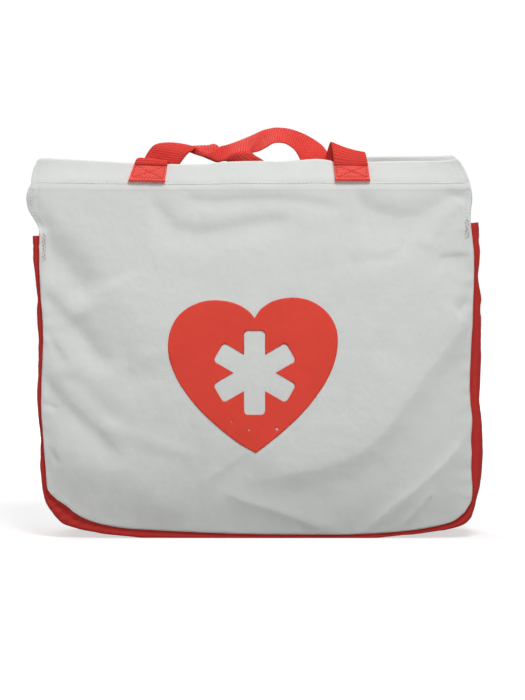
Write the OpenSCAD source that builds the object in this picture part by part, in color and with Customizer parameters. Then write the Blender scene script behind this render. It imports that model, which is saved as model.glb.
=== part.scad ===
// Soft play doctor's bag: two white cloth panels, one red strip that boxes the sides and base,
// two red webbing handles and a heart print with a six-armed star left bare in its middle.
// Millimetres, +Z up. The front faces -Y and the origin is the middle of the base.

/* [Bag body] */
// Width between the two side seams
seam_w = 300; // [240:1:360]
// Height of the front and rear panels, base to mouth
bag_h = 262; // [230:1:320]
// Depth between the front seam and the rear seam
bag_d = 70; // [56:1:100]
// Width of the rounding at each bottom corner of a panel
corner_w = 65; // [30:1:100]
// Height of the rounding at each bottom corner of a panel
corner_h = 36; // [20:1:70]
// How far the base strip lies below the seams
base_drop = 4; // [2:0.5:8]
// How far the side strip swells out beyond the seams
side_swell = 5.5; // [2:0.5:10]
// Share of the strip's width that is flat, and rests on the floor under the base
flat_share = 0.6; // [0.3:0.05:0.75]
// How far the middle of a panel swells out beyond its seam
belly = 7; // [2:0.5:14]

/* [Mouth and hems] */
// Height of the panels' free part above the ends of the side strip
flap_h = 48; // [35:1:70]
// Mouth opening between the outer faces of the panels, in the middle
mouth_d = 51; // [40:1:56]
// Mouth opening between the outer faces of the panels, at the free side edges
mouth_side_d = 62; // [40:1:70]
// Extra opening at the lower edge of the hem, because the hem leans in
hem_lean = 6; // [2:0.5:10]
// Half width of the straight part of the mouth, which carries the handles
mouth_straight = 96; // [90:1:110]
// Height of the turned-down hem at the mouth
hem_h = 21; // [17:1:26]
// Width of the turned-in hem on the free side edges
side_hem_w = 6; // [4:0.5:10]
// Height of the turned-down hem on the ends of the side strip
strip_hem_h = 8; // [5:0.5:12]
// How far the free side edges stand out beyond the seams
flare = 3.5; // [0:0.5:6]
// How much narrower the mouth is than the seams, on each side
top_tuck = 4; // [0:0.5:8]

/* [Cloth] */
// Thickness of the white panel cloth
panel_t = 1; // [0.8:0.1:1.6]
// Thickness of the red strip's cloth
strip_t = 0.8; // [0.6:0.1:1.4]
// Depth of the seam allowances that are turned inside
seam_allow = 8; // [4:0.5:11]

/* [Print] */
// Width of the printed heart
heart_w = 117; // [80:1:150]
// Height of the printed heart, tip to lobes
heart_h = 107; // [80:1:130]
// Height of the heart's tip above the base
heart_z = 59; // [40:1:70]
// Height of the star's middle above the heart's tip
star_up = 55.5; // [45:0.5:60]
// Length of a star arm from the middle
star_arm = 29; // [15:0.5:32]
// Width of a star arm
star_bar = 14.6; // [8:0.2:18]
// Rounding of the corners of a star arm
star_round = 2.8; // [1:0.1:3.5]
// Thickness of the print film
print_t = 0.3; // [0.2:0.05:0.6]

/* [Webbing] */
// Width of the webbing
web_w = 25; // [20:0.5:30]
// Thickness of the webbing
web_t = 1.3; // [1:0.1:2]
// Distance between the two ends of a handle, middle to middle
tab_pitch = 141.5; // [120:0.5:155]
// Height of the sewn-down end of a handle
tab_h = 15; // [12:0.5:20]
// How far the front handle reaches back over the mouth
front_reach = 74; // [50:1:80]
// How high the middle of the front handle lies above the mouth
front_rise = 16; // [12:0.5:30]
// Length of the rear handle's loop from the tabs to its lowest point
rear_drop = 64; // [55:1:90]
// Angle between the hanging rear handle and the vertical
rear_hang = 17; // [14:0.5:30]
// Turn of the rear handle's webbing at its lowest point, out of the loop's plane
rear_turn = 60; // [30:1:80]

/* [Fits] */
// Gap between layers that lie on each other
layer_gap = 0.1; // [0.05:0.05:0.2]
// Gap between the sewn end of a handle and the part that swings
swing_gap = 0.3; // [0.2:0.05:0.6]

/* [Hidden] */
seam_half = seam_w / 2;
strip_top = bag_h - flap_h;
hem_z = bag_h - hem_h;
hem_y = (mouth_d + hem_lean) / 2;
hem_angle = atan2(hem_lean / 2, hem_h);
ply_edge = 0.8;

// Where the swinging part of the front handle turns, on the hem's leaning face and in the bag's frame
axis_gap = swing_gap + web_t / 2;
hang_angle = rear_hang - hem_angle;
axis_out = layer_gap + 2 * web_t + axis_gap * (1 - sin(hang_angle)) / cos(hang_angle);
axis_up = axis_gap;
axis_y = mouth_d / 2 + axis_out * cos(hem_angle) - axis_up * sin(hem_angle);
axis_z = bag_h + axis_out * sin(hem_angle) + axis_up * cos(hem_angle);

// Rows of a panel: the rounded corners, the body, the strip's hem, the free part and the mouth's hem
corner_steps = 6;
body_steps = 8;
flap_steps = 3;
body_z = base_drop + corner_h;
strip_hem_z = strip_top - strip_hem_h;
rows = concat(
    [for (i = [0:corner_steps]) base_drop + corner_h * (1 - cos(90 * i / corner_steps))],
    [for (i = [1:body_steps]) mix(body_z, strip_hem_z - ply_edge, i / body_steps)],
    [strip_hem_z, strip_top],
    [for (i = [1:flap_steps]) mix(strip_top, hem_z, i / flap_steps)],
    [hem_z + ply_edge, hem_z + hem_h / 2, bag_h]
);
strip_row = corner_steps + body_steps + 2;

// Columns of a panel, as shares of its half width, closer together at the side hems
inner_columns = 18;
side_hem = 1 - side_hem_w / seam_half;
side_step = side_hem - ply_edge / seam_half;
columns = concat(
    [-1, -side_hem],
    [for (i = [0:inner_columns]) mix(-side_step, side_step, i / inner_columns)],
    [side_hem, 1]
);
last_col = len(columns) - 1;

function mix(a, b, t) = a + (b - a) * t;
function clamp(v, low, high) = max(low, min(high, v));
function unit(v) = v / norm(v);

// Half width of a panel at a height: rounded at the base, straight, then flared and free
function half_width(z) =
    z < body_z ? seam_half - corner_w * (1 - sin(acos(clamp(1 - (z - base_drop) / corner_h, 0, 1))))
    : z <= strip_top ? seam_half
    : free_half(clamp((z - strip_top) / flap_h, 0, 1));
function free_half(t) = seam_half + flare * sin(180 * pow(t, 0.75)) - top_tuck * t * t;

// How far a panel's outer face lies from the middle of the bag, down its middle and down its edge
function mid_depth(z) =
    z >= hem_z ? mix(hem_y, mouth_d / 2, (z - hem_z) / hem_h)
    : body_depth((z - base_drop) / (hem_z - base_drop));
function body_depth(t) =
    bag_d / 2 + belly * sin(180 * pow(t, 0.8)) - (bag_d / 2 - hem_y) * pow(t, 2.4);
function edge_depth(z) =
    z <= strip_top ? bag_d / 2
    : mix(bag_d / 2, mouth_side_d / 2, smooth((z - strip_top) / flap_h));
function smooth(t) = t * t * (3 - 2 * t);

// The share of the edge's depth at a place: none over the straight part of the mouth
function edge_share(x, z) = pow(clamp((abs(x) - calm(z)) / (half_width(z) - calm(z)), 0, 1), 2);
function calm(z) = mouth_straight * smooth(clamp((z - bag_h / 3) / (hem_z - bag_h / 3), 0, 1));
function depth(x, z) = mix(mid_depth(z), edge_depth(z), edge_share(x, z));

// Plies of the panel at a place: two in the hems, otherwise one
function panel_plies(z, share) =
    z > hem_z || (z > strip_top && abs(share) >= side_hem) ? 2 : 1;

// The seam, from the left end of the strip down, along the base and up to the right end
seam = concat(
    [for (r = [strip_row:-1:0]) [-half_width(rows[r]), rows[r]]],
    [for (c = [1:last_col - 1]) [columns[c] * half_width(rows[0]), rows[0]]],
    [for (r = [0:strip_row]) [half_width(rows[r]), rows[r]]]
);
last_seam = len(seam) - 1;
function seam_run(i) = unit(seam[min(i + 1, last_seam)] - seam[max(i - 1, 0)]);
seam_out = [for (i = [0:last_seam]) let (t = seam_run(i)) [t[1], -t[0]]];

// The seam point at a panel's rim, or -1 where the place isn't on the seam
function seam_at(r, c) =
    r == 0 ? strip_row + c
    : r <= strip_row && c == 0 ? strip_row - r
    : r <= strip_row && c == last_col ? strip_row + last_col + r
    : -1;

// A thick sheet between two grids of the same size, closed along its four sides. Seen from outside,
// the points of a row of the far grid run clockwise round to the next row
function grid_faces(n, m, from, flip) = [
    for (i = [0:n - 2], j = [0:m - 2], k = [0:1])
        let (
            a = from + i * m + j,
            t = k == 0 ? [a, a + 1, a + m + 1] : [a, a + m + 1, a + m]
        )
        flip ? [t[2], t[1], t[0]] : t
];
function wall_faces(from, to) = [
    for (k = [0:len(from) - 2], h = [0:1])
        h == 0 ? [from[k], to[k], to[k + 1]] : [from[k], to[k + 1], from[k + 1]]
];
module sheet(near, far) {
    n = len(near);
    m = len(near[0]);
    rim = concat(
        [for (j = [0:m - 1]) j],
        [for (i = [1:n - 1]) i * m + m - 1],
        [for (j = [m - 2:-1:0]) (n - 1) * m + j],
        [for (i = [n - 2:-1:0]) i * m]
    );
    flanged_sheet(near, far, [rim], []);
}

// The same with an allowance along some edges, between the near and the far face. free and seams
// hold the near grid's numbers along each edge, and a seam then has its allowance's two far edges
module flanged_sheet(near, far, free, seams) {
    n = len(near);
    m = len(near[0]);
    count = n * m;
    polyhedron(
        concat(
            [for (g = [near, far], row = g, p = row) p],
            [for (edge = seams, list = [edge[1], edge[2]], p = list) p]
        ),
        concat(
            grid_faces(n, m, 0, false),
            grid_faces(n, m, count, true),
            [for (rim = free) each wall_faces(rim, [for (k = rim) k + count])],
            [
                for (q = [0:1:len(seams) - 1])
                    each flange_faces(seams[q][0], count, 2 * count + 2 * q * len(seams[0][0]))
            ]
        )
    );
}
function flange_faces(rim, count, from) =
    let (
        last = len(rim) - 1,
        side = [for (k = [0:last]) from + k],
        tip = [for (k = [0:last]) from + last + 1 + k],
        far = [for (k = rim) k + count]
    )
    concat(
        wall_faces(rim, side),
        wall_faces(side, tip),
        wall_faces(tip, far),
        end_face([far[0], tip[0], side[0], rim[0]]),
        end_face([rim[last], side[last], tip[last], far[last]])
    );
function end_face(q) = [[q[0], q[1], q[2]], [q[0], q[2], q[3]]];

// A closed tube of rings, each a loop of as many points, capped at both ends
module tube(rings) {
    n = len(rings);
    m = len(rings[0]);
    points = [for (ring = rings, p = ring) p];
    sides = [
        for (i = [0:n - 2], j = [0:m - 1], k = [0:1])
            let (a = i * m + j, b = i * m + (j + 1) % m)
            k == 0 ? [a, b, b + m] : [a, b + m, a + m]
    ];
    first = [for (j = [1:m - 2]) [0, j + 1, j]];
    last = [for (j = [1:m - 2]) [0, j, j + 1] + [1, 1, 1] * (n - 1) * m];
    polyhedron(points, concat(sides, first, last));
}

// The two far edges of a seam allowance: both plies share the one along the tips
mitre = norm([strip_t, panel_t]);
seam_corner = [for (p = seam) [p[0], -bag_d / 2, p[1]]];
seam_in = [for (out = seam_out) [-out[0], 0, -out[1]]];
seam_tip = [
    for (i = [0:last_seam])
        let (turned = (seam_in[i] * strip_t + [0, panel_t, 0]) / mitre)
        seam_corner[i] + turned * (mitre + seam_allow)
];

// One panel as the front one lies: swollen, rounded below, hemmed at the mouth and the free edges
module panel() {
    n = len(rows);
    m = len(columns);
    outer = [for (z = rows) [for (s = columns) let (x = s * half_width(z)) [x, -depth(x, z), z]]];
    inner = [
        for (r = [0:n - 1]) [
            for (c = [0:last_col])
                let (i = seam_at(r, c), p = outer[r][c])
                i < 0 ? p + [0, panel_t * panel_plies(rows[r], columns[c]), 0]
                : p + [0, panel_t, 0] + seam_in[i] * (strip_t + mitre)
        ]
    ];
    sewn = concat(
        [for (r = [strip_row:-1:0]) r * m],
        [for (c = [1:last_col]) c],
        [for (r = [1:strip_row]) r * m + last_col]
    );
    free = concat(
        [for (r = [strip_row:n - 1]) r * m + last_col],
        [for (c = [last_col - 1:-1:0]) (n - 1) * m + c],
        [for (r = [n - 2:-1:strip_row]) r * m]
    );
    ply = [for (i = [0:last_seam]) seam_tip[i] + seam_in[i] * mitre];
    flanged_sheet(inner, outer, [free], [[sewn, ply, seam_tip]]);
}

module front_panel() {
    color("whitesmoke") panel();
}

module rear_panel() {
    color("whitesmoke") mirror([0, 1, 0]) panel();
}

// The red strip: up one side, under the base and up the other, swollen between the seams
strip_edge_steps = 2;
strip_shares = concat(
    [for (i = [0:strip_edge_steps]) -mix(1, flat_share, i / strip_edge_steps)],
    [0],
    [for (i = [strip_edge_steps:-1:0]) mix(1, flat_share, i / strip_edge_steps)]
);
function strip_swell(i, share) =
    (side_swell * pow(seam_out[i][0], 2) + base_drop * pow(seam_out[i][1], 2))
    * (1 - pow(max(0, (abs(share) - flat_share) / (1 - flat_share)), 2));
function strip_plies(i) = seam[i][1] >= strip_hem_z ? 2 : 1;
module side_and_base_strip() {
    m = len(strip_shares);
    outer = [
        for (i = [0:last_seam]) [
            for (s = strip_shares)
                let (out = seam_in[i] * -strip_swell(i, s))
                [seam[i][0], s * bag_d / 2, seam[i][1]] + out
        ]
    ];
    inner = [
        for (i = [0:last_seam]) [
            for (j = [0:m - 1])
                let (
                    share = strip_shares[j],
                    sewn = abs(share) == 1,
                    back = sewn ? -sign(share) * (panel_t + mitre) : 0
                )
                outer[i][j] + seam_in[i] * strip_t * (sewn ? 1 : strip_plies(i)) + [0, back, 0]
        ]
    ];
    front = [for (i = [last_seam:-1:0]) i];
    rear = [for (i = [0:last_seam]) i];
    color("firebrick")
        flanged_sheet(
            inner, outer,
            [[for (j = [0:m - 1]) j], [for (j = [m - 1:-1:0]) last_seam * m + j]],
            [
                for (edge = [[front, 1, 0], [rear, -1, m - 1]])
                    [
                        [for (i = edge[0]) i * m + edge[2]],
                        [for (i = edge[0]) across(seam_tip[i] + [0, mitre, 0], edge[1])],
                        [for (i = edge[0]) across(seam_tip[i], edge[1])]
                    ]
            ]
        );
}
function across(p, side) = [p[0], p[1] * side, p[2]];

// The printed heart: two lobes and two flanks that meet in the tip, with the star left bare
print_rows = 12;
print_columns = 12;
flank_steps = 12;
flank_fullness = 1.83;
module heart_outline() {
    lobe_r = heart_w * 0.2725;
    lobe_x = heart_w / 2 - lobe_r;
    lobe_y = heart_h - lobe_r;
    flank = [
        for (i = [1:flank_steps])
            let (t = i / flank_steps)
            [heart_w / 2 * (1 - pow(1 - t, flank_fullness)), lobe_y * t]
    ];
    for (side = [-1, 1])
        translate([side * lobe_x, lobe_y])
            circle(r = lobe_r, $fn = 64);
    polygon(concat(
        [[0, 0]],
        flank,
        [[0, lobe_y + lobe_r / 2]],
        [for (i = [len(flank) - 1:-1:0]) [-flank[i][0], flank[i][1]]]
    ));
}
module star_outline() {
    for (turn = [0:60:120])
        rotate(turn)
            union() {
                square([star_bar, 2 * (star_arm - star_round)], center = true);
                square([star_bar - 2 * star_round, 2 * star_arm], center = true);
                for (x = [-1, 1], y = [-1, 1])
                    translate([x * (star_bar / 2 - star_round), y * (star_arm - star_round)])
                        circle(r = star_round, $fn = 24);
            }
}
module heart_print() {
    layer = [
        for (g = [layer_gap + print_t, layer_gap]) [
            for (i = [0:print_rows]) [
                for (j = [0:print_columns])
                    let (
                        x = mix(-0.52, 0.52, j / print_columns) * heart_w,
                        z = heart_z + mix(-0.02, 1.02, i / print_rows) * heart_h
                    )
                    [x, -depth(x, z) - g, z]
            ]
        ]
    ];
    color("crimson")
        intersection() {
            sheet(layer[1], layer[0]);
            translate([0, -bag_d / 2 - belly / 2, heart_z])
                rotate([90, 0, 0])
                    linear_extrude(height = bag_d / 2 + 2 * belly, center = true)
                        difference() {
                            heart_outline();
                            translate([0, star_up])
                                star_outline();
                        }
        }
}

// The sewn-down end of a handle: the webbing's end is folded under, and a slit parts the two plies
module tab(side) {
    slit = layer_gap / 2;
    color("crimson")
        translate([side * tab_pitch / 2 - web_w / 2, -mouth_d / 2, bag_h])
            rotate([-hem_angle, 0, 0])
                translate([0, -layer_gap - web_t, 0])
                    rotate([90, 0, 90])
                        linear_extrude(height = web_w)
                            difference() {
                                union() {
                                    translate([0, web_t - tab_h])
                                        circle(r = web_t, $fn = 32);
                                    translate([-web_t, web_t - tab_h])
                                        square([2 * web_t, tab_h - web_t]);
                                }
                                translate([-slit / 2, web_t - tab_h])
                                    square([slit, tab_h]);
                            }
}

module front_left_tab() {
    tab(-1);
}

module front_right_tab() {
    tab(1);
}

module rear_left_tab() {
    mirror([0, 1, 0]) tab(-1);
}

module rear_right_tab() {
    mirror([0, 1, 0]) tab(1);
}

// Webbing along a list of [middle, direction of its width], with half-round ends
web_edge = web_t / 3;
nose_angles = [80, 50, 25];
function web_ring(p, along, width, thick) =
    let (w = unit(width - along * (width * along)), n = cross(along, w), h = web_w / 2, t = web_t / 2 * thick)
    [
        for (c = [
            [h - web_edge, t], [h, t * 0.4], [h, -t * 0.4], [h - web_edge, -t],
            [web_edge - h, -t], [-h, -t * 0.4], [-h, t * 0.4], [web_edge - h, t]
        ]) p + w * c[0] + n * c[1]
    ];
module webbing(stations) {
    last = len(stations) - 1;
    run = [
        for (i = [0:last])
            unit(stations[min(i + 1, last)][0] - stations[max(i - 1, 0)][0])
    ];
    middle = [for (i = [0:last]) web_ring(stations[i][0], run[i], stations[i][1], 1)];
    start = [
        for (a = nose_angles)
            web_ring(stations[0][0] - run[0] * sin(a) * web_t / 2, run[0], stations[0][1], cos(a))
    ];
    end = [
        for (k = [len(nose_angles) - 1:-1:0])
            let (a = nose_angles[k])
            web_ring(stations[last][0] + run[last] * sin(a) * web_t / 2, run[last], stations[last][1], cos(a))
    ];
    color("crimson") tube(concat(start, middle, end));
}

// A smooth curve through stations of [middle, direction of the width], with steps between each two
function curve(s, steps) = concat(
    [
        for (i = [0:len(s) - 2], k = [0:steps - 1])
            [between([for (p = s) p[0]], i, k / steps), mix(s[i][1], s[i + 1][1], k / steps)]
    ],
    [s[len(s) - 1]]
);
function between(s, i, t) =
    let (a = s[max(i - 1, 0)], b = s[i], c = s[i + 1], d = s[min(i + 2, len(s) - 1)])
    (2 * b + (c - a) * t + (2 * a - 5 * b + 4 * c - d) * t * t + (3 * b - a - 3 * c + d) * t * t * t) / 2;

// The front handle lies back over the mouth. Each station is the webbing's middle, as shares of half
// the tab pitch, of the reach and of the rise, and then the direction of the webbing's width
front_steps = 4;
front_route = [
    [[-1, 0, 0], [1, 0, 0]],
    [[-1, 0.06, 0], [1, 0, 0]],
    [[-1, 0.12, 0.12], [1, -0.03, -0.02]],
    [[-0.98, 0.2, 0.3], [0.95, -0.2, -0.12]],
    [[-0.86, 0.34, 0.42], [0.7, -0.65, -0.25]],
    [[-0.62, 0.53, 0.42], [0.35, -0.85, -0.3]],
    [[-0.34, 0.74, 0.5], [0.15, -0.92, -0.34]],
    [[-0.05, 0.93, 0.78], [0.1, -0.93, -0.37]],
    [[0.2, 0.99, 0.98], [-0.05, -0.92, -0.38]],
    [[0.44, 0.9, 0.85], [-0.3, -0.87, -0.35]],
    [[0.61, 0.7, 0.6], [-0.55, -0.77, -0.3]],
    [[0.79, 0.45, 0.5], [-0.8, -0.55, -0.22]],
    [[0.98, 0.22, 0.32], [-0.95, -0.2, -0.1]],
    [[1, 0.12, 0.12], [-1, -0.03, -0.02]],
    [[1, 0.06, 0], [-1, 0, 0]],
    [[1, 0, 0], [-1, 0, 0]]
];
module front_handle() {
    stations = [
        for (s = front_route)
            [
                [
                    s[0][0] * tab_pitch / 2,
                    s[0][1] * front_reach - axis_y,
                    axis_z + s[0][2] * front_rise
                ],
                s[1]
            ]
    ];
    webbing(curve(stations, front_steps));
}

// The rear handle hangs down behind: a rounded loop whose webbing turns on edge at the bottom
rear_steps = 40;
loop_square = 0.8;
module rear_handle() {
    down = [0, sin(rear_hang), -cos(rear_hang)];
    out = [0, cos(rear_hang), sin(rear_hang)];
    stations = [
        for (i = [0:rear_steps])
            let (
                a = 180 * i / rear_steps,
                x = -sign(cos(a)) * pow(abs(cos(a)), loop_square) * tab_pitch / 2,
                d = pow(abs(sin(a)), loop_square) * rear_drop,
                inner = unit([cos(a), 0, 0] - down * sin(a)),
                turn = rear_turn * pow(sin(a), 1.5)
            )
            [[x, axis_y, axis_z] + down * d, inner * cos(turn) + out * sin(turn)]
    ];
    webbing(stations);
}

front_panel();
rear_panel();
side_and_base_strip();
heart_print();
front_left_tab();
front_right_tab();
rear_left_tab();
rear_right_tab();
front_handle();
rear_handle();
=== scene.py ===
"""Looks of the soft play doctor's bag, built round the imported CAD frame.

Lengths are in millimetres until mesh() turns them into metres. Names that end in _PX, and px and
py, are places in the photograph's 525 x 700 pixels. A panel's side is -1 for the front one and 1
for the rear one.
"""

import math

import bmesh
import bpy
import numpy as np
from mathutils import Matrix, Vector
from mathutils.geometry import delaunay_2d_cdt


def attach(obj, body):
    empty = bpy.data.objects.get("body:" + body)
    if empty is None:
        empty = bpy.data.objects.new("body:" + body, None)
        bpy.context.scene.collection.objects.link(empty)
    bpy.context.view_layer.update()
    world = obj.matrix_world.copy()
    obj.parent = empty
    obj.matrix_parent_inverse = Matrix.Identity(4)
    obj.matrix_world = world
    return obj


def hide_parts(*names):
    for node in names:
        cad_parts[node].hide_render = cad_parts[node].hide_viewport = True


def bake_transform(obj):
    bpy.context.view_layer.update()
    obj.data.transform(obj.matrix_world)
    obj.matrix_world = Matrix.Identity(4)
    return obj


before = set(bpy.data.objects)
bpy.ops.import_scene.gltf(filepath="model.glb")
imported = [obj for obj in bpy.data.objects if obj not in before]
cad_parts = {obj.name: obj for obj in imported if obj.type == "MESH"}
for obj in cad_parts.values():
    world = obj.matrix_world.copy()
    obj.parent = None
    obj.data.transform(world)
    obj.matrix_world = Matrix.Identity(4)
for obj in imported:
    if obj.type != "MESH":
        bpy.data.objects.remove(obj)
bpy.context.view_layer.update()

# The photograph's view: 0.69 mm to the pixel on the front panel's plane
PX, PY = 525, 700
SCALE = 0.69
ORIGIN_PX = (257.0, 539.0)
FRONT_Y = -33.0
CAM_DIST = 1500.0
CAM_TILT = math.radians(2.0)
AIM = np.array([(PX / 2 - ORIGIN_PX[0]) * SCALE, FRONT_Y, (ORIGIN_PX[1] - PY / 2) * SCALE])
VIEW_DIR = np.array([0, math.cos(CAM_TILT), -math.sin(CAM_TILT)])
VIEW_UP = np.array([0, math.sin(CAM_TILT), math.cos(CAM_TILT)])
CAM_POS = AIM - VIEW_DIR * CAM_DIST


def place(px, py, height):
    """Points behind pixels at y = -height."""
    across = np.array([1.0, 0, 0]) * ((px - PX / 2) * SCALE)[..., None]
    ray = VIEW_DIR * CAM_DIST + across + VIEW_UP * ((PY / 2 - py) * SCALE)[..., None]
    return CAM_POS + ray * ((-height - CAM_POS[1]) / ray[..., 1])[..., None]


def smooth(t):
    """A soft step from 0 at t = 0 to 1 at t = 1."""
    t = np.clip(t, 0, 1)
    return t * t * (3 - 2 * t)


def step(x):
    """A soft step from 0 to 1 round x = 0, about 4 wide."""
    return 1 / (1 + np.exp(-x))


def bell(x, width):
    return np.exp(-((x / width) ** 2))


def smoothed(values, width):
    """Values averaged over a window that is width places wide."""
    kernel = np.hanning(width)
    return np.convolve(np.pad(values, width // 2, mode="edge"), kernel / kernel.sum(), "valid")


def run_of(points):
    """Distances along a line of points, from 0 at the first."""
    return np.concatenate([[0], np.cumsum(np.linalg.norm(np.diff(points, axis=0), axis=1))])


def between(want, run, points):
    """Places on a line of points at wanted distances, where run holds the points' own."""
    return np.stack([np.interp(want, run, column) for column in points.T], -1)


def spline(points, count):
    """A curve through points, as count places evenly spread along its length."""
    p = np.array(points, float)
    ext = np.vstack([2 * p[0] - p[1], p, 2 * p[-1] - p[-2]])
    t = np.linspace(0, 1, 24, endpoint=False)[:, None]
    fine = []
    for a, b, c, d in zip(ext, ext[1:], ext[2:], ext[3:]):
        curve = 2 * b + (c - a) * t + (2 * a - 5 * b + 4 * c - d) * t**2
        fine.append(0.5 * (curve + (3 * b - a - 3 * c + d) * t**3))
    fine = np.vstack(fine + [p[-1:]])
    run = run_of(fine)
    return between(np.linspace(0, run[-1], count), run, fine)


def mesh(name, verts, faces, uv=None):
    """A smooth-shaded object from points in millimetres. uv holds one pair for each point."""
    data = bpy.data.meshes.new(name)
    verts = (np.asarray(verts, float) * 0.001).tolist()
    data.from_pydata(verts, [], [list(map(int, f)) for f in faces])
    data.validate()
    if uv is not None:
        layer = data.uv_layers.new(name="weave")
        loops = np.empty(len(data.loops), dtype=np.int32)
        data.loops.foreach_get("vertex_index", loops)
        layer.data.foreach_set("uv", np.asarray(uv, np.float32)[loops].ravel())
    data.polygons.foreach_set("use_smooth", [True] * len(data.polygons))
    data.update()
    obj = bpy.data.objects.new(name, data)
    bpy.context.collection.objects.link(obj)
    return obj


def fix_normals(obj):
    """Turns a closed piece's faces outward."""
    bm = bmesh.new()
    bm.from_mesh(obj.data)
    bmesh.ops.recalc_face_normals(bm, faces=bm.faces)
    bm.to_mesh(obj.data)
    bm.free()
    return obj


def normals_of(grid, axis=None, sign=1):
    """Unit normals of a grid of points. axis and sign say which way the middle one points."""
    n = np.cross(np.gradient(grid, axis=1), np.gradient(grid, axis=0))
    n /= np.maximum(np.linalg.norm(n, axis=-1, keepdims=True), 1e-9)
    if axis is not None:
        n *= sign * np.sign(n[n.shape[0] // 2, n.shape[1] // 2, axis])
    return n


def shell(name, outer, inner, uv, faces, rim):
    """A closed piece between two layers of points with the same faces, walled along rim."""
    count = len(outer)
    walls = [[b, a, a + count, b + count] for a, b in rim]
    faces = faces.tolist() + (faces[:, ::-1] + count).tolist() + walls
    return mesh(name, np.vstack([outer, inner]), faces, np.vstack([uv, uv]))


def slab(name, outer, inner, uv):
    """A closed sheet between two grids of points of the same size."""
    i = np.arange(outer.shape[0] * outer.shape[1]).reshape(outer.shape[:2])
    quads = np.stack([i[:-1, :-1], i[:-1, 1:], i[1:, 1:], i[1:, :-1]], -1).reshape(-1, 4)
    rim = [*i[0], *i[1:, -1], *i[-1, -2::-1], *i[-2:0:-1, 0]]
    grids = (g.reshape(-1, g.shape[-1]) for g in (outer, inner, uv))
    return shell(name, *grids, quads, zip(rim, rim[1:] + rim[:1]))


def on_grid(grid, i, j):
    """Points between a grid's rows and columns."""
    i, j = (np.clip(q, 0, size - 1.001) for q, size in zip((i, j), grid.shape))
    a, b = i.astype(int), j.astype(int)
    u, v = (i - a)[..., None], (j - b)[..., None]
    return (
        grid[a, b] * (1 - u) * (1 - v)
        + grid[a + 1, b] * u * (1 - v)
        + grid[a, b + 1] * (1 - u) * v
        + grid[a + 1, b + 1] * u * v
    )


# The front panel's edges: the sides from the mouth down, the others from left to right
LEFT_PX = [
    (37.5, 161.5), (34, 168), (32, 176), (31, 183.5), (27.8, 190.5), (26.6, 200),
    (28.6, 210), (33.5, 218.5), (37.8, 226), (39.2, 235), (39.2, 262), (40, 285),
    (41.2, 303), (42.6, 320), (43, 345), (41.6, 380), (41.2, 409), (42.8, 432),
    (43.8, 448), (45.5, 466), (47, 486.5), (50.7, 494),
]  # fmt: skip
BOTTOM_PX = [
    (50.7, 494), (60, 501.5), (69, 507.8), (79.3, 515.8), (95.4, 522.4), (120.3, 527.6),
    (149.6, 529.8), (201, 532.4), (255, 534), (311, 534.4), (347, 534.4), (390, 532.3),
    (419, 529.2), (441, 525), (455, 520), (465, 512),
]  # fmt: skip
RIGHT_PX = [
    (459, 160.5), (463, 167), (468.4, 178.3), (471.2, 190), (471.8, 198), (470.3, 214),
    (470.6, 222), (472.5, 240), (474, 255), (474, 278), (473, 306), (472.5, 323.7),
    (471, 350), (469.8, 380), (470.2, 400), (472.2, 420), (471, 440), (471.7, 453.6),
    (471.2, 469), (472.4, 490), (471, 501), (465, 512),
]  # fmt: skip
TOP_PX = [
    (37.5, 161.5), (40.5, 158.4), (47, 158.3), (90, 160.5), (125, 162.6), (150, 163.4),
    (185, 164.3), (203, 164.3), (220, 162.2), (240, 161.2), (263, 160.9), (280, 161.4),
    (300, 160), (316, 158.9), (328, 160), (338, 162.6), (352, 162.8), (372, 161.6),
    (400, 161.2), (447, 160.6), (454.5, 158.6), (459, 160.5),
]  # fmt: skip
# Outer outline of the red strip, down the left, along the base and up the right
STRIP_PX = [
    (32.6, 228), (32.9, 250), (32.9, 267.5), (35.2, 289), (38, 303), (36.8, 309), (37.5, 323),
    (38.4, 340), (37.6, 370), (37.3, 400), (39, 421), (41.2, 438), (39.8, 450), (40.4, 470),
    (42.4, 488), (46, 501), (48.5, 505.5), (62.5, 521), (66, 523), (83.7, 528.2), (107, 532.8),
    (142, 536.5), (200, 537.6), (255, 538.2), (278, 539), (324, 538.2), (368, 538.1),
    (416, 533.6), (446.4, 528.8), (463.3, 523.5), (470.8, 518.6), (475.5, 507.2), (479.4, 495),
    (481.7, 476.6), (482.9, 453.6), (482.4, 427.6), (479.6, 400), (480.6, 370), (482, 340),
    (481.8, 299.4), (478.4, 278), (480.4, 262), (480.3, 245), (479, 215),
]  # fmt: skip
LEFT, BOTTOM, RIGHT, TOP = (spline(p, 400) for p in (LEFT_PX, BOTTOM_PX, RIGHT_PX, TOP_PX))
# Pixel rows: the strip's ends at left and right, the mouth, and the hem's stitching and ply's end
STRIP_TOP_PX = (235.0, 222.0)
MOUTH_PX = 161.3
HEM_PX = 183.3
HEM_INNER_PX = 189.5
# Pixels from a free side edge to its hem's stitching and to its ply's end
SIDE_STITCH_PX, SIDE_HEM_PX = 4.2, 7.5
# Half widths: the seam's groove, calm cloth, allowance and rounding, and the hem's groove
SEAM_GROOVE_PX, SEAM_CALM_PX, ALLOWANCE_PX, ROUNDING_PX, HEM_GROOVE_PX = 1.6, 7, 9, 16, 0.9
# Heights: the seam's and side hems' grooves, the steps at the ends of the mouth's and side hems'
# plies, the front's sag and its hem's lip, and the fine unevenness
GROOVE, PLY_STEP, SIDE_PLY_STEP, SAG, LIP, UNEVEN = 0.3, 0.28, 0.25, 2.2, 0.12, 0.16
# How much higher and further right the rear panel's mouth edge lies at its right end
REAR_RISE, REAR_SHIFT = 6.6, 3.2
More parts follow.
